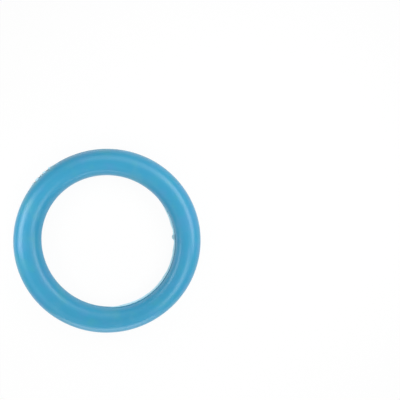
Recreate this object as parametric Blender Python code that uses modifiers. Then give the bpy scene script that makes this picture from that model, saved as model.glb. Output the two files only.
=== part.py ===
"""Exercise ring: a soft ring of round section, squeezed, twisted and pulled in the hands.

The ring is hollow and is built as two moulded half shells. They are one moulding used twice,
turned face to face and bonded along the flat plane half way through the ring's thickness.
The ring lies flat, its axis along +Z, with its centre at the origin. Metres, +Z up.
"""

import math

import bpy

# Driving dimensions, each of which can be changed by itself.
OUTER_DIAMETER = 0.160
TUBE_DIAMETER = 0.022
WALL = 0.0045

# Fineness. An odd number of facets puts a level facet at the middle of each face of the
# ring, which is what it lies on.
STEPS_ROUND_RING = 72
OUTER_FACETS = 13
INNER_FACETS = 9
MERGE_DISTANCE = 0.00001

# Finish of the moulded rubber, in linear colour.
RUBBER_BLUE = (0.060, 0.325, 0.520, 1.0)
RUBBER_ROUGHNESS = 0.38
RUBBER_METALLIC = 0.0
SHARP_EDGE_ANGLE = math.radians(40)

TUBE_RADIUS = TUBE_DIAMETER / 2
CAVITY_RADIUS = TUBE_RADIUS - WALL
CENTRE_LINE_RADIUS = OUTER_DIAMETER / 2 - TUBE_RADIUS


def clear_scene():
    """Remove every object, so that the model starts from nothing."""
    for old in list(bpy.data.objects):
        bpy.data.objects.remove(old, do_unlink=True)


def make_collection(name):
    """A new collection in the scene for the ring's pieces."""
    collection = bpy.data.collections.new(name)
    bpy.context.scene.collection.children.link(collection)
    return collection


def make_rubber(name):
    """The half shell's own Principled material."""
    material = bpy.data.materials.new(name)
    material.use_nodes = True
    shader = material.node_tree.nodes["Principled BSDF"]
    shader.inputs["Base Color"].default_value = RUBBER_BLUE
    shader.inputs["Roughness"].default_value = RUBBER_ROUGHNESS
    shader.inputs["Metallic"].default_value = RUBBER_METALLIC
    material.diffuse_color = RUBBER_BLUE
    return material


def half_circle(radius, facets, side):
    """Points over one half of the tube's section, from the hole's side to the outer side.

    side is 1 for the half above the bonding plane and -1 for the half below it. The first
    and last points lie exactly on the plane.
    """
    points = []
    for step in range(facets + 1):
        angle = math.pi * (1 - step / facets)
        height = 0.0 if step in (0, facets) else radius * math.sin(angle)
        points.append((CENTRE_LINE_RADIUS + radius * math.cos(angle), 0.0, side * height))
    return points


def half_section(side):
    """The closed C of one half shell: over the outside, across a lip, back over the cavity."""
    outside = half_circle(TUBE_RADIUS, OUTER_FACETS, side)
    cavity = half_circle(CAVITY_RADIUS, INNER_FACETS, side)
    loop = outside + cavity[::-1]
    return loop if side > 0 else loop[::-1]


def turn_about_axis(outline, name):
    """The closed body that the outline makes when it is turned once about Z."""
    screw = outline.modifiers.new("turn", "SCREW")
    screw.axis = "Z"
    screw.angle = 2 * math.pi
    screw.steps = STEPS_ROUND_RING
    screw.render_steps = STEPS_ROUND_RING
    screw.use_merge_vertices = True
    screw.merge_threshold = MERGE_DISTANCE
    evaluated = outline.evaluated_get(bpy.context.evaluated_depsgraph_get())
    body = bpy.data.meshes.new_from_object(evaluated)
    body.name = name
    return body


def make_half_shell(name, side, collection):
    """One half shell, smooth over its walls and crisp at the edges of its lips."""
    loop = half_section(side)
    edges = [(index, (index + 1) % len(loop)) for index in range(len(loop))]
    section = bpy.data.meshes.new(name + "_section")
    section.from_pydata(loop, edges, [])
    shell = bpy.data.objects.new(name, section)
    collection.objects.link(shell)

    body = turn_about_axis(shell, name)
    shell.modifiers.clear()
    shell.data = body
    bpy.data.meshes.remove(section)
    body.shade_smooth()
    body.set_sharp_from_angle(angle=SHARP_EDGE_ANGLE)
    body.materials.append(make_rubber(name + "_rubber"))
    return shell


def build_ring():
    clear_scene()
    ring = make_collection("exercise_ring")
    make_half_shell("front_half_shell", 1, ring)
    make_half_shell("rear_half_shell", -1, ring)


build_ring()
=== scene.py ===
# %% [markdown]
# # A soft exercise ring
#
# The real object is a closed ring of soft blue rubber, 160 mm across, that a hand squeezes,
# twists and pulls. It has no handles and no spring. What makes it look real is small: two
# moulded halves that don't quite line up, a thin web of rubber left where they were pressed
# together, a satin skin and the way that skin bends the light.
#
# This lesson loads the engineering model first. It stays where it is and gives every size,
# and the finer surfaces made below take the place of its faceted solids in the picture.

import math

import bpy
import numpy as np
from mathutils import Matrix, Vector


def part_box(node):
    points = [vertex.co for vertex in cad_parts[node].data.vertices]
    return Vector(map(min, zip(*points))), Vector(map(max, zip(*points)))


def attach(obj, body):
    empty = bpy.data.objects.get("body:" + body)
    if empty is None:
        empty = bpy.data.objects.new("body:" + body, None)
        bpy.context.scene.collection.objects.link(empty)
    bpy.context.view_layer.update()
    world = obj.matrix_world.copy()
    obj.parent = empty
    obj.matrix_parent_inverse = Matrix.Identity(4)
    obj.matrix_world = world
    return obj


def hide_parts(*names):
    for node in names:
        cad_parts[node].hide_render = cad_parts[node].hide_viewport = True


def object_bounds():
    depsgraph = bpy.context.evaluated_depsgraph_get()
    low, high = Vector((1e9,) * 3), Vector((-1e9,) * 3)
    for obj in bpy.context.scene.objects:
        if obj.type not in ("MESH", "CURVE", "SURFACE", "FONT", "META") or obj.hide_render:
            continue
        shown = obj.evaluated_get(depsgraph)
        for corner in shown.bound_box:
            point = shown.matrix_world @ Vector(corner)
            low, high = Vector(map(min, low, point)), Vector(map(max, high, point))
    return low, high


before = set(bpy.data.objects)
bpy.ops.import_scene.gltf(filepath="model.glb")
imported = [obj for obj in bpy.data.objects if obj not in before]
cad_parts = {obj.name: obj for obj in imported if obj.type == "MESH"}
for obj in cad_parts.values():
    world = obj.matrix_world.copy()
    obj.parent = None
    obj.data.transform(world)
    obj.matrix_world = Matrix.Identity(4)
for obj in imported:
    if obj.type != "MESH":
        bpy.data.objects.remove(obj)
cad_low, cad_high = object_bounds()
print("engineering model from", tuple(cad_low), "to", tuple(cad_high))

# %% [markdown]
# ## The ring's own sizes
#
# A ring of round section needs only two sizes: how far its outer edge is from its axis, and
# how thick its tube is. They could be typed in again, but then a change to the engineering
# model would leave the picture behind, so they are read from it. The facets of that model
# cut its thickness short by the cosine of half a facet, which is put back here. Only the
# wall, which doesn't show from outside, is typed in.

# %% Read the sizes from the half shells
MM = 0.001

front_low, front_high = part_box("front_half_shell")
FACETS_OVER_HALF = 13
OUTER_RADIUS = (front_high.x - front_low.x) / 2
TUBE_RADIUS = front_high.z / math.cos(math.pi / FACETS_OVER_HALF / 2)
LINE_RADIUS = OUTER_RADIUS - TUBE_RADIUS
WALL = 4.5 * MM
CAVITY_RADIUS = TUBE_RADIUS - WALL
RING_CENTRE = (cad_low + cad_high) / 2
print(f"outer radius {OUTER_RADIUS / MM:.2f} mm, tube radius {TUBE_RADIUS / MM:.2f} mm,",
      f"centre line {LINE_RADIUS / MM:.2f} mm")

# %% [markdown]
# ## Grids that close on themselves
#
# Every piece here is a closed loop carried round the ring: a table of points whose rows go
# round the axis and whose columns go round the section. Spinning an outline with a modifier
# would also do it, but a table lets each place on the ring differ a little from the next,
# as it does in soft rubber. Both ends of the table join, so there is no seam and no pole.

# %% A helper that turns a table of points into a piece
def closed_grid(name, points):
    """Mesh of a grid that closes both ways: a quad joins each point with the next one round
    the ring, the next one round the section, and the one after both."""
    rows, columns, _ = points.shape
    index = np.arange(rows * columns).reshape(rows, columns)
    ahead = np.roll(index, -1, axis=0)
    quads = np.stack([index, ahead, np.roll(ahead, -1, axis=1), np.roll(index, -1, axis=1)],
                     axis=-1).reshape(-1, 4)
    mesh = bpy.data.meshes.new(name)
    mesh.vertices.add(rows * columns)
    mesh.vertices.foreach_set("co", points.astype(np.float32).ravel())
    mesh.loops.add(quads.size)
    mesh.loops.foreach_set("vertex_index", quads.astype(np.int32).ravel())
    mesh.polygons.add(len(quads))
    mesh.polygons.foreach_set("loop_start", np.arange(0, quads.size, 4, dtype=np.int32))
    mesh.update(calc_edges=True)
    mesh.validate()
    mesh.shade_smooth()
    piece = bpy.data.objects.new(name, mesh)
    bpy.context.scene.collection.objects.link(piece)
    print(f"{name}: {len(quads) * 2} triangles")
    return piece


def keep_vector(piece, name, values):
    """Stores three numbers at each point of a piece, for its material to read."""
    attribute = piece.data.attributes.new(name, "FLOAT_VECTOR", "POINT")
    attribute.data.foreach_set("vector", values.astype(np.float32).ravel())


def keep_number(piece, name, values):
    """Stores one number at each point as a vector of three the same, whose mean a material
    reads back."""
    keep_vector(piece, name, np.repeat(values[..., None], 3, axis=-1))


# %% [markdown]
# ## How a soft ring is not quite true
#
# A ring cools unevenly in its mould, is pulled out warm and is squeezed for months. Its
# outline then wanders by a few tenths of a millimetre, and its tube is a little thicker on
# the left and along one diagonal than elsewhere. Random numbers at each point would look
# rough, and would not meet at the start of the ring. A sum of a few waves that each fit the
# ring a whole number of times is smooth and closes exactly. The long waves are chosen one by
# one, and the short ones, which only take the ruled look away, come from a seed.

# %% Waves that fit the ring a whole number of times
def long_wave(angle, count, size, crest):
    """Size x cosine of count x the ring angle past the crest, which is in degrees."""
    return size * np.cos(count * (angle - math.radians(crest)))


def waves(angle, counts, size, seed):
    """Sum of cosines of the ring angle, one for each whole count, each with its own seeded
    phase, and with a height that falls as the square root of the count."""
    phases = np.random.default_rng(seed).uniform(0, 2 * math.pi, len(counts))
    total = np.zeros_like(angle)
    for count, phase in zip(counts, phases):
        total += np.cos(count * angle + phase) / math.sqrt(count)
    return size * total


def window(angle, start, stop, fade):
    """1 between two ring angles in degrees and 0 outside, easing over fade degrees at each
    end: a smooth step of the distance from the middle, the short way round the ring."""
    middle, half = (start + stop) / 2, (stop - start) / 2
    away = np.abs((np.degrees(angle) - middle + 180) % 360 - 180)
    step = np.clip((half + fade / 2 - away) / fade, 0, 1)
    return step * step * (3 - 2 * step)


def outline_drift(angle):
    """How far the centre line of the tube lies outside its true circle: a constant, a wave
    that fits twice, one that fits three times, and short ones."""
    return (0.09 * MM + long_wave(angle, 2, 0.18 * MM, -9) + long_wave(angle, 3, 0.03 * MM, 24)
            + waves(angle, [5, 7, 9], 0.02 * MM, seed=11))


def thickness_drift(angle):
    """The tube's thickness as a share of its true thickness: a constant, a wave that fits
    twice, one that fits once, and short ones."""
    return (1.025 + long_wave(angle, 2, 0.042, 30) + long_wave(angle, 1, 0.030, 163)
            + waves(angle, [5, 8, 11], 0.0012, seed=12))


ROUND_STEPS = 720
ring_angle = np.arange(ROUND_STEPS) * 2 * math.pi / ROUND_STEPS
thickness = 2 * TUBE_RADIUS / MM * thickness_drift(ring_angle)
print(f"outline wanders {np.ptp(outline_drift(ring_angle)) / MM:.2f} mm,",
      f"thickness from {thickness.min():.2f} to {thickness.max():.2f} mm")

# %% [markdown]
# ## The two half shells
#
# The ring is hollow, and was moulded as two half shells that were pressed together. Each
# one's section is a C: over the round outside, in along one lip, back under the cavity and
# out along the other lip. The edge where wall meets lip is never sharp on rubber, so the
# wall is pulled in there along a quarter circle, which leaves a fine groove between the
# halves. One function makes both, because both came out of the same mould.

# %% The section of one half shell
EDGE_RADIUS = 0.22 * MM
CROWDING = 0.955
WALL_POINTS = 72
LIP_POINTS = 3
CAVITY_POINTS = 18


def half_section():
    """Across and up from the tube's centre, as one closed loop. The wall is a half circle
    whose points crowd at its ends (angle = pi x s less CROWDING x half the sine of 2 pi s),
    pulled in by EDGE_RADIUS less the quarter circle's height where it nears the lip."""
    share = np.linspace(0, 1, WALL_POINTS + 1)
    bend = math.pi * (share - CROWDING * np.sin(2 * math.pi * share) / (2 * math.pi))
    across, up = TUBE_RADIUS * np.cos(bend), TUBE_RADIUS * np.sin(bend)
    up[[0, -1]] = 0.0
    below = np.clip(EDGE_RADIUS - up, 0, EDGE_RADIUS)
    pulled = EDGE_RADIUS - np.sqrt(EDGE_RADIUS**2 - below**2)
    across = across - np.sign(across) * pulled

    turn = np.linspace(math.pi, 0, CAVITY_POINTS + 1)
    cavity_across, cavity_up = CAVITY_RADIUS * np.cos(turn), CAVITY_RADIUS * np.sin(turn)
    cavity_up[[0, -1]] = 0.0
    inner_lip = np.linspace(across[-1], cavity_across[0], LIP_POINTS + 2)[1:-1]
    outer_lip = np.linspace(cavity_across[-1], across[0], LIP_POINTS + 2)[1:-1]
    flat = np.zeros(LIP_POINTS)
    return (np.concatenate([across, inner_lip, cavity_across, outer_lip]),
            np.concatenate([up, flat, cavity_up, flat]))


section_across, section_up = half_section()
print(f"a half section has {len(section_across)} points")

# %% [markdown]
# Mould halves are located by pins, and pins wear. The two halves of this ring sit a little
# over half a millimetre apart sideways, which shows as a step on the outside at the upper
# left and again inside the hole at the lower right. Each half is moved by half of that. At
# the same two places rubber was squeezed out and cut off by hand, and the knife took a
# shaving of the wall with it, so the section has a flat there.

# %% Carry the section round the ring, once for each half
MISMATCH = 0.6 * MM
MISMATCH_ANGLE = math.radians(-45)
INNER_SHAVING = 0.60 * MM
OUTER_SHAVING = 0.45 * MM
# Where each cut starts and stops, and how far it eases out, in degrees round the ring.
INNER_STRETCH = (-84, 30, 26)
OUTER_STRETCH = (124, 144, 8)


def inner_cut(angle):
    """1 where the hole's edge was cut and 0 elsewhere."""
    return window(angle, *INNER_STRETCH)


def outer_cut(angle):
    """1 where the outer edge was cut and 0 elsewhere."""
    return window(angle, *OUTER_STRETCH)


def shaved(across, angle):
    """Distance from the tube's centre after cutting. The depth, which is the distance in
    from the outermost point, becomes the square root of depth squared plus (shaving x share
    squared) squared, where the share is how far out the point lies, so that the flat runs
    out smoothly."""
    share = np.abs(across) / TUBE_RADIUS
    shaving = np.where(across < 0, INNER_SHAVING * inner_cut(angle)[:, None],
                       OUTER_SHAVING * outer_cut(angle)[:, None])
    depth = np.clip(TUBE_RADIUS - np.abs(across), 0, None)
    cut = TUBE_RADIUS - np.sqrt(depth**2 + (shaving * share**2) ** 2)
    on_wall = np.abs(across) > CAVITY_RADIUS
    return np.where(on_wall & (shaving > 0), np.sign(across) * cut, across)


def ring_points(across, up, angle, shift):
    """Point = (centre-line radius + drift + thickness x across) along the ring angle, and
    up along the axis, all moved sideways by shift."""
    radius = LINE_RADIUS + (outline_drift(angle)[:, None]
                            + thickness_drift(angle)[:, None] * shaved(across, angle))
    x = radius * np.cos(angle)[:, None] + shift[0]
    y = radius * np.sin(angle)[:, None] + shift[1]
    return np.stack(np.broadcast_arrays(x, y, up), axis=-1) + np.array(RING_CENTRE)


def flow_directions(angle, up, across):
    """Cosine and sine of the ring angle, and the angle round the tube as a share of a turn,
    for patterns that run along the ring and close on themselves."""
    cosine, sine = np.cos(angle)[:, None], np.sin(angle)[:, None]
    turn = np.arctan2(up, across) / (2 * math.pi)
    return np.stack(np.broadcast_arrays(cosine, sine, turn), axis=-1)


def half_shell(name, side):
    """The front half for side 1, and for side -1 its mirror image in the lip plane, with the
    section taken the other way round so that the faces still point out."""
    across, up = section_across, section_up
    if side < 0:
        across, up = across[::-1], -up[::-1]
    sideways = np.array([math.cos(MISMATCH_ANGLE), math.sin(MISMATCH_ANGLE)])
    points = ring_points(across, up, ring_angle, side * MISMATCH / 2 * sideways)
    shell = closed_grid(name, points)
    keep_vector(shell, "flow", flow_directions(ring_angle, up, across))
    return shell


front_shell = half_shell("front_half_rubber", 1)
rear_shell = half_shell("rear_half_rubber", -1)

# %% [markdown]
# ## The web of flash
#
# When a mould is pressed shut, a film of rubber creeps out along the line where its halves
# meet. It is trimmed by hand, so a short stub is left nearly everywhere and a longer web
# where the knife missed it: inside the hole along the right, and on a short stretch of the
# outside at the upper left. The inner web has a hollow where a piece tore away, and a tab of
# it still stands there. The outer one was chopped, and its notches are darkened with dirt
# and painted shade; the tab is greyed. It is real material with an edge of its own, and it
# shows pale because it is thin. Painted on it would vanish from the side, so it is a piece.

# %% How far the flash stands out, all the way round
FINE_STEPS = 1440
fine_angle = np.arange(FINE_STEPS) * 2 * math.pi / FINE_STEPS

STUB = 0.10 * MM
INNER_WEB = 1.75 * MM
OUTER_WEB = 1.30 * MM
HOLLOW = 0.475 * MM
TORN_TAB = 1.425 * MM
# Start, stop and fade, in degrees round the ring, and how low and high the knife left it.
HOLLOW_STRETCH = (-3.0, 13.0, 4.0)
TAB_STRETCH = (1.9, 5.5, 2.8)
KNIFE_RANGE = (0.45, 1.3)

ragged = 1 + waves(fine_angle, [9, 17, 31, 47, 71], 0.16, seed=21)
knife_marks = 0.85 + waves(fine_angle, [67, 109, 163, 229, 281], 1.9, seed=22)
inner_width = (ragged * (STUB + INNER_WEB * inner_cut(fine_angle))
               - HOLLOW * window(fine_angle, *HOLLOW_STRETCH)
               + TORN_TAB * window(fine_angle, *TAB_STRETCH))
outer_width = (ragged[::-1] * STUB
               + OUTER_WEB * outer_cut(fine_angle) * np.clip(knife_marks, *KNIFE_RANGE))
print(f"inner flash up to {inner_width.max() / MM:.2f} mm,",
      f"outer flash up to {outer_width.max() / MM:.2f} mm")

# %% [markdown]
# Its section is a thin wedge: as thick as the groove where it comes out, and thinning to a
# blunt edge. A share runs from 0 at its root to 1 at its edge. Thinness, which is that share
# where the web is long and less where it is short, is kept at each point, so that the
# material can grow paler with it. How much grey-blue goes on the web there is kept as its
# darkening: dirt and painted shade in the outer notches, and grey on the tab.

# %% Carry the wedge round the ring
ROOT_DEPTH = 0.9 * MM
ROOT_THICKNESS = 0.30 * MM
EDGE_THICKNESS = 0.12 * MM
RIPPLE = 0.05 * MM
# How dark the outer notches get, with dirt and painted shade, and how grey the torn tab is
# made, and where.
MOST_DIRT_AND_SHADE = 0.95
TAB_GREYING = 0.30
TAB_GREYING_STRETCH = (1.6, 5.6, 1.2)
WEDGE_SHARES = np.array([-1.0, 0.0, 0.35, 0.7, 0.92, 1.0, 1.0, 0.92, 0.7, 0.35, 0.0, -1.0])
WEDGE_SIDES = np.array([1, 1, 1, 1, 1, 0.6, -0.6, -1, -1, -1, -1, -1])


def flash_web(name, outward, width, darkening, seed):
    """Across = outward x (distance of the wall from the tube's centre + share x width), or
    that distance less the depth of the root where the share is below 0. Up = side x half the
    thickness there, plus a slight ripple of the whole web that grows with the share. The
    outer web is taken the other way round, so that its faces point out too."""
    share = np.clip(WEDGE_SHARES, 0, 1)
    inside = np.clip(-WEDGE_SHARES, 0, 1)
    reach = share * width[:, None] - inside * ROOT_DEPTH
    wall = np.abs(shaved(np.array([outward * TUBE_RADIUS]), fine_angle))
    across = outward * (wall * thickness_drift(fine_angle)[:, None] + reach)
    thick = ROOT_THICKNESS + (EDGE_THICKNESS - ROOT_THICKNESS) * share
    ripple = waves(fine_angle, [13, 23, 37], RIPPLE, seed)[:, None] * share
    up = WEDGE_SIDES * thick / 2 + ripple
    radius = LINE_RADIUS + outline_drift(fine_angle)[:, None] + across
    points = np.stack([radius * np.cos(fine_angle)[:, None],
                       radius * np.sin(fine_angle)[:, None], up], axis=-1)
    if outward > 0:
        points, share = points[:, ::-1], share[::-1]
    web = closed_grid(name, points + np.array(RING_CENTRE))
    keep_number(web, "thinness", share * np.clip(width / INNER_WEB, 0, 1)[:, None])
    keep_number(web, "darkening", darkening[:, None] * np.ones_like(share))
    return web


# The torn tab is greyed a little over its own stretch.
tab_greying = TAB_GREYING * window(fine_angle, *TAB_GREYING_STRETCH)
# The lower the knife left the outer web, the darker it is made, with dirt and with painted
# shade in its notches.
knife_dirt_and_shade = outer_cut(fine_angle) * np.clip(1.6 - 1.5 * knife_marks, 0, MOST_DIRT_AND_SHADE)
inner_flash = flash_web("inner_flash", -1, inner_width, tab_greying, seed=31)
outer_flash = flash_web("outer_flash", 1, outer_width, knife_dirt_and_shade, seed=32)

# %% [markdown]
# ## Writing materials as sums
#
# A material is a net of small nodes, and a net is slow to read as a list of links. Wrapping
# an output in a class that knows plus, minus and times lets the recipe be written as it is
# thought of: base + 0.1 * noise. Each expression adds its Math nodes by itself.

# %% A wrapped output, and a recipe that makes nodes
class Value:
    """A number coming out of a node, with arithmetic that adds Math nodes."""

    def __init__(self, recipe, socket):
        self.recipe, self.socket = recipe, socket

    def __add__(self, other):
        return self.recipe.math("ADD", self, other)

    def __sub__(self, other):
        return self.recipe.math("SUBTRACT", self, other)

    def __rsub__(self, other):
        return self.recipe.math("SUBTRACT", other, self)

    def __mul__(self, other):
        return self.recipe.math("MULTIPLY", self, other)

    __radd__, __rmul__ = __add__, __mul__

    def clamp(self):
        """The same number, held between 0 and 1."""
        return self.recipe.math("MAXIMUM", self.recipe.math("MINIMUM", self, 1.0), 0.0)


class Recipe:
    """One node tree, and the one method that adds a node to it."""

    def __init__(self, tree):
        self.tree = tree

    def make(self, kind, settings=None, inputs=None):
        """A new node, with its settings first and then a number or a link for each input."""
        node = self.tree.nodes.new(kind)
        for name, value in (settings or {}).items():
            setattr(node, name, value)
        for name, value in (inputs or {}).items():
            if isinstance(value, Value):
                value = value.socket
            if isinstance(value, bpy.types.NodeSocket):
                self.tree.links.new(value, node.inputs[name])
            else:
                node.inputs[name].default_value = value
        return node

    def value(self, kind, settings=None, inputs=None, output=0):
        """A new node's output, wrapped as a number."""
        return Value(self, self.make(kind, settings, inputs).outputs[output])

    def math(self, operation, *numbers):
        """What one operation makes of the numbers, in their order."""
        return self.value("ShaderNodeMath", {"operation": operation}, dict(enumerate(numbers)))

    def stretched(self, place, factors):
        """A place x one factor for each axis: the larger the factor, the finer the pattern."""
        return self.make("ShaderNodeVectorMath", {"operation": "MULTIPLY"},
                         {0: place, 1: factors}).outputs[0]

    def noise(self, place, scale, detail=2.0, roughness=0.5):
        """Smooth random value about 0, from about -0.5 to 0.5."""
        return self.value("ShaderNodeTexNoise", None,
                          {"Vector": place, "Scale": scale, "Detail": detail,
                           "Roughness": roughness}) - 0.5

    def ramp(self, value, low, high):
        """0 below low, 1 above high, smooth between."""
        return self.value("ShaderNodeMapRange", {"interpolation_type": "SMOOTHSTEP"},
                          {"Value": value, "From Min": low, "From Max": high})

    def mix(self, share, first, second):
        """One colour turning into another as share goes from 0 to 1."""
        node = self.make("ShaderNodeMix", {"data_type": "RGBA"},
                         {0: share, 6: first, 7: second})
        return node.outputs[2]

    def show(self, shader):
        """Lets the material show a shader."""
        self.make("ShaderNodeOutputMaterial", None, {"Surface": shader.outputs[0]})


def new_material(name):
    """An empty material, and the recipe that fills it."""
    material = bpy.data.materials.new(name)
    material.use_nodes = True
    material.node_tree.nodes.clear()
    return material, Recipe(material.node_tree)


# %% [markdown]
# ## Satin blue rubber
#
# The skin is plain, but not one flat blue. Pigment is stirred into the rubber and leaves
# soft clouds of a slightly different blue, and faint streaks lie along the ring where the
# rubber flowed. Wax that creeps to the surface dulls it in patches. The mould was blasted, so
# a fine grain breaks up the gloss, and fine lines were dragged into it where the ring was
# pulled out. Along the line between the halves a file has been at work, which leaves the
# rubber paler and rougher for a millimetre.
#
# Clouds are noise on the object's own coordinates. Streaks and drag lines need to follow the
# ring, so they read the flow values that were stored above, stretched along the ring angle.

# %% The rubber's patterns
BLUE = (0.032, 0.330, 0.522, 1.0)
DEEP_BLUE = (0.028, 0.288, 0.498, 1.0)
TEAL_BLUE = (0.040, 0.340, 0.462, 1.0)
VIOLET_BLUE = (0.052, 0.292, 0.535, 1.0)
BLOOM_BLUE = (0.090, 0.352, 0.515, 1.0)
FILED_BLUE = (0.085, 0.340, 0.480, 1.0)

# How fine each pattern is, in repeats a metre, or for each axis of its own place.
CLOUD_SCALE = 34.0
BLOOM_SCALE = 55.0
HUE_SCALE = 62.0
SWELL_SCALE = 140.0
SPECK_SCALE = 900.0
GRAIN_SCALE = 2600.0
STREAK_STRETCH = (6.0, 6.0, 60.0)
DRAG_STRETCH = (22.0, 22.0, 420.0)
FILE_STRETCH = (900.0, 900.0, 120.0)

rubber, mixing = new_material("blue_satin_rubber")
place = mixing.make("ShaderNodeTexCoord").outputs["Object"]
flow = mixing.make("ShaderNodeAttribute", {"attribute_name": "flow"}).outputs["Vector"]
clouds = mixing.noise(place, CLOUD_SCALE, detail=3.0)
hues = mixing.noise(place, HUE_SCALE)
specks = mixing.noise(place, SPECK_SCALE, detail=3.0)
grain = mixing.noise(place, GRAIN_SCALE)
swell = mixing.noise(place, SWELL_SCALE)
streaks = mixing.noise(mixing.stretched(flow, STREAK_STRETCH), 1.0, detail=3.0)
drag_lines = mixing.noise(mixing.stretched(flow, DRAG_STRETCH), 1.0)
file_marks = mixing.noise(mixing.stretched(place, FILE_STRETCH), 1.0)
bloom = mixing.ramp(mixing.noise(place, BLOOM_SCALE, detail=4.0, roughness=0.6), 0.02, 0.22)
print(f"{rubber.name}: {len(rubber.node_tree.nodes)} nodes for its patterns")

# %% [markdown]
# The file's work is 1 on the line between the halves and 0 a little way from it, with an
# edge that its own marks make uneven. Each pattern then moves the colour a share of the way
# towards another blue, and adds its part to the roughness and to the height of the skin.

# %% The rubber's colour, roughness and relief
FILED_FULLY = 0.4 * MM
FILED_AT_ALL = 1.1 * MM
FILE_WANDER = 0.6 * MM
GRAIN_HEIGHT = 0.016 * MM
SWELL_HEIGHT = 0.05 * MM
DRAG_HEIGHT = 0.012 * MM
FILE_HEIGHT = 0.03 * MM
RUBBER_IOR = 1.5

up_axis = mixing.make("ShaderNodeSeparateXYZ", None, {0: place}).outputs["Z"]
from_line = mixing.math("ABSOLUTE", up_axis)
filed = 1 - mixing.ramp(from_line + FILE_WANDER * file_marks, FILED_FULLY, FILED_AT_ALL)

colour = mixing.mix((0.5 + 1.1 * clouds + 0.7 * streaks).clamp(), BLUE, DEEP_BLUE)
colour = mixing.mix(0.55 * mixing.ramp(hues, 0.02, 0.20), colour, TEAL_BLUE)
colour = mixing.mix(0.55 * mixing.ramp(0 - hues, 0.02, 0.20), colour, VIOLET_BLUE)
colour = mixing.mix((0.25 * bloom + 0.30 * specks * specks).clamp(), colour, BLOOM_BLUE)
colour = mixing.mix((0.55 * filed + 0.5 * filed * file_marks).clamp(), colour, FILED_BLUE)
roughness = (0.32 + 0.07 * bloom + 0.14 * specks + 0.06 * streaks + 0.10 * drag_lines
             + 0.16 * filed)
relief = (GRAIN_HEIGHT * grain + SWELL_HEIGHT * swell + DRAG_HEIGHT * drag_lines
          + FILE_HEIGHT * filed * file_marks)
bump = mixing.make("ShaderNodeBump", None,
                   {"Height": relief, "Distance": 1.0, "Strength": 0.8})
mixing.show(mixing.make("ShaderNodeBsdfPrincipled", None,
                        {"Base Color": colour, "Roughness": roughness, "IOR": RUBBER_IOR,
                         "Specular IOR Level": 0.55, "Normal": bump.outputs[0]}))
print(f"{rubber.name}: {len(rubber.node_tree.nodes)} nodes in all")

# %% [markdown]
# ## Thin rubber
#
# The flash is the same rubber, but a tenth of a millimetre of it hardly holds any pigment,
# and bending turns it white. Its blue is mixed towards a pale blue by the thinness that was
# stored at each point, and where darkening was stored it turns to a dull grey-blue, which is
# dirt and painted shade in the outer notches and grey on the tab. Real translucency would
# also work, but this web is too small for anyone to see through, and a plain colour survives
# every renderer.

# %% The flash's recipe
PALE_BLUE = (0.56, 0.86, 0.95, 1.0)
# The grey-blue of dirt and painted shade in the outer notches, and of the greyed tab.
DARK_GREY_BLUE = (0.075, 0.180, 0.230, 1.0)

BLOTCH_SCALE = 600.0
PALE_FROM = 0.30

thin_rubber, thinning = new_material("thin_pale_rubber")
thin = thinning.make("ShaderNodeAttribute", {"attribute_name": "thinness"}).outputs["Fac"]
darkening = thinning.value("ShaderNodeAttribute", {"attribute_name": "darkening"}, output="Fac")
place = thinning.make("ShaderNodeTexCoord").outputs["Object"]
blotches = thinning.noise(place, BLOTCH_SCALE, detail=3.0)
paleness = (thinning.ramp(thin, 0.0, PALE_FROM) + 0.5 * blotches).clamp()
colour = thinning.mix(paleness, FILED_BLUE, PALE_BLUE)
# Darkening: dirt and painted shade in the outer notches, grey on the tab.
colour = thinning.mix((darkening * (1 + blotches)).clamp(), colour, DARK_GREY_BLUE)
thinning.show(thinning.make("ShaderNodeBsdfPrincipled", None,
                            {"Base Color": colour, "Roughness": 0.52 + 0.1 * blotches,
                             "IOR": RUBBER_IOR, "Specular IOR Level": 0.45}))
print(f"{thin_rubber.name}: {len(thin_rubber.node_tree.nodes)} nodes")

# %% [markdown]
# ## Putting the pieces on the frame
#
# Nothing on the ring moves against anything else, so all four pieces ride on its one body.
# The two rubber skins stand for the two half shells, which then aren't shown.

# %% Dress the pieces and hand them to the frame
for piece, finish in ((front_shell, rubber), (rear_shell, rubber),
                      (inner_flash, thin_rubber), (outer_flash, thin_rubber)):
    piece.data.materials.append(finish)
    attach(piece, "root")

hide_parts("front_half_shell")
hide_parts("rear_half_shell")

# %% [markdown]
# ## A floor that stays white
#
# The ring lies on a plain pale floor. Lighting a floor until it is pure white would also
# bleach the ring, so the floor keeps a plain level of light. Nearly all of what the camera
# and reflections see of it is white that is simply shown, and the rest is the lit surface,
# which keeps a faint soft shadow of the ring.

# %% The floor
FLOOR_RADIUS = 3.0
FLOOR_WHITE = (0.90, 0.90, 0.90, 1.0)
SHOWN_WHITE_SHARE = 0.94


def seen_by_camera(recipe):
    """1 for camera rays only."""
    return recipe.value("ShaderNodeLightPath", output="Is Camera Ray")


def seen_directly(recipe):
    """1 for camera, glossy and transmission rays, and 0 for the light that bounces about."""
    path = recipe.make("ShaderNodeLightPath").outputs
    mirrored = recipe.math("MAXIMUM", path["Is Glossy Ray"], path["Is Transmission Ray"])
    return recipe.math("MAXIMUM", mirrored, path["Is Camera Ray"])


bpy.ops.mesh.primitive_circle_add(vertices=96, radius=FLOOR_RADIUS, fill_type="NGON")
floor = bpy.context.object
floor.name = "floor"
floor.location = (RING_CENTRE.x, RING_CENTRE.y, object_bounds()[0].z)

white, whitening = new_material("floor_white")
lit = whitening.make("ShaderNodeBsdfDiffuse", None, {"Color": FLOOR_WHITE})
shown = whitening.make("ShaderNodeEmission", None, {"Color": (1, 1, 1, 1), "Strength": 1.0})
blend = whitening.make("ShaderNodeMixShader", None,
                       {0: SHOWN_WHITE_SHARE * seen_directly(whitening),
                        1: lit.outputs[0], 2: shown.outputs[0]})
whitening.show(blend)
floor.data.materials.append(white)
print("floor at", round(floor.location.z / MM, 3), "mm")

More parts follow.
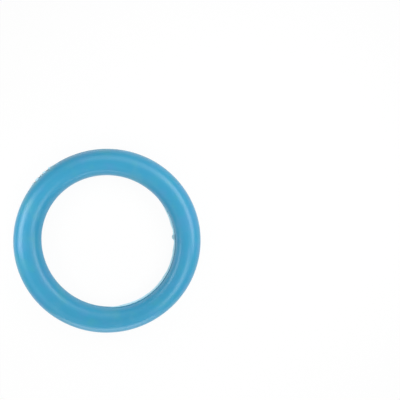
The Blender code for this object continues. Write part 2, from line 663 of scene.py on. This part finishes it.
# %% [markdown]
# ## Soft light from panels
#
# Satin rubber shows the shape of its lights as long soft bands. Each band on the ring is a
# panel seen in the tube as in a bent mirror. A small bright one stands near and low on the
# left, a wide one reaches from the right over the top, and a bright one hangs in front at
# the lower right. A long low one past the lower edge, and two weak ones above and at the
# lower left, soften what lies between. A dim room fills in the rest, darkest overhead, where
# a camera would stand.

# %% The panels
def panel(name, centre, width, tall, brightness):
    """A flat rectangular lamp that faces the ring, with its power worked out from the
    brightness that it shows: brightness x area x pi."""
    lamp = bpy.data.lights.new(name, "AREA")
    lamp.shape = "RECTANGLE"
    lamp.size, lamp.size_y = width, tall
    lamp.energy = brightness * width * tall * math.pi
    holder = bpy.data.objects.new(name, lamp)
    bpy.context.scene.collection.objects.link(holder)
    holder.location = RING_CENTRE + Vector(centre)
    holder.rotation_euler = Vector(centre).to_track_quat("Z", "Y").to_euler()
    holder.visible_camera = False
    print(f"{name}: {lamp.energy:.3f} W")


panel("left_panel", (-0.148, 0.014, 0.086), 0.096, 0.064, 4.8)
panel("right_panel", (0.27, 0.095, 0.225), 0.37, 0.14, 3.9)
panel("upper_panel", (0.02, 0.175, 0.133), 0.24, 0.13, 1.1)
panel("lower_panel", (-0.03, -0.30, 0.045), 0.34, 0.10, 2.8)
panel("lower_left_panel", (-0.163, -0.161, 0.19), 0.15, 0.15, 0.50)
panel("front_panel", (0.14, -0.14, 0.26), 0.14, 0.14, 3.2)

# %% [markdown]
# The room's brightness changes only with how far up one looks. What the camera and the
# reflections see of it, and the soft light that it gives, are two different levels.

# %% The room
HORIZON_LEVEL = 0.42
HIGH_RISE = 0.20
OVERHEAD_DROP = 0.34
SOFT_LEVEL = 0.57

world = bpy.data.worlds.new("room")
world.use_nodes = True
world.node_tree.nodes.clear()
bpy.context.scene.world = world
room = Recipe(world.node_tree)
direction = room.make("ShaderNodeTexCoord").outputs["Generated"]
upward = room.make("ShaderNodeSeparateXYZ", None, {0: direction}).outputs["Z"]
shown_level = (HORIZON_LEVEL + HIGH_RISE * room.ramp(upward, 0.40, 0.62)
               - OVERHEAD_DROP * room.ramp(upward, 0.80, 0.95))
soft_level = SOFT_LEVEL * room.ramp(upward, 0.15, 0.85)
level = soft_level + seen_directly(room) * (shown_level - soft_level)
level = level + seen_by_camera(room) * (1 - level)
sky = room.make("ShaderNodeBackground", None, {"Color": (1, 1, 1, 1), "Strength": level})
room.make("ShaderNodeOutputWorld", None, {"Surface": sky.outputs[0]})
print(f"{world.name}: {len(world.node_tree.nodes)} nodes")

# %% [markdown]
# ## The camera
#
# The ring is seen almost straight in front of its face, leaning by under four degrees, off
# to the left and a little below the middle of the picture. Its place in the picture could
# come from a lens shift, but here the camera moves sideways instead, so that the lens sees
# the tube a little from the side, as it does when something isn't held in the middle.

# %% Place the camera
LENS = 42.84
SENSOR = 36.0
VIEW_DISTANCE = 6 * LINE_RADIUS
# How far off the middle the ring is, as shares of the picture's width, and its two leans.
LEFT_OF_MIDDLE = 0.2303
BELOW_MIDDLE = 0.1037
LEAN_RIGHT = 0.028
LEAN_DOWN = 0.057

camera_data = bpy.data.cameras.new("camera")
camera_data.lens = LENS
camera_data.sensor_width = SENSOR
camera = bpy.data.objects.new("camera", camera_data)
bpy.context.scene.collection.objects.link(camera)
bpy.context.scene.camera = camera

back = Vector((-LEAN_RIGHT, LEAN_DOWN, 1.0)).normalized()
right = Vector((0, 1, 0)).cross(back).normalized()
above = back.cross(right)
frame_width = VIEW_DISTANCE * SENSOR / LENS
stand = (RING_CENTRE + LEFT_OF_MIDDLE * frame_width * right
         + BELOW_MIDDLE * frame_width * above + VIEW_DISTANCE * back)
camera.matrix_world = Matrix((right, above, back)).transposed().to_4x4()
camera.location = stand
print("camera stands at", tuple(round(value, 4) for value in stand))

# %% [markdown]
# ## Colours as they are written
#
# The Standard view shows a colour as it was mixed.

# %% Finish
bpy.context.scene.view_settings.view_transform = "Standard"
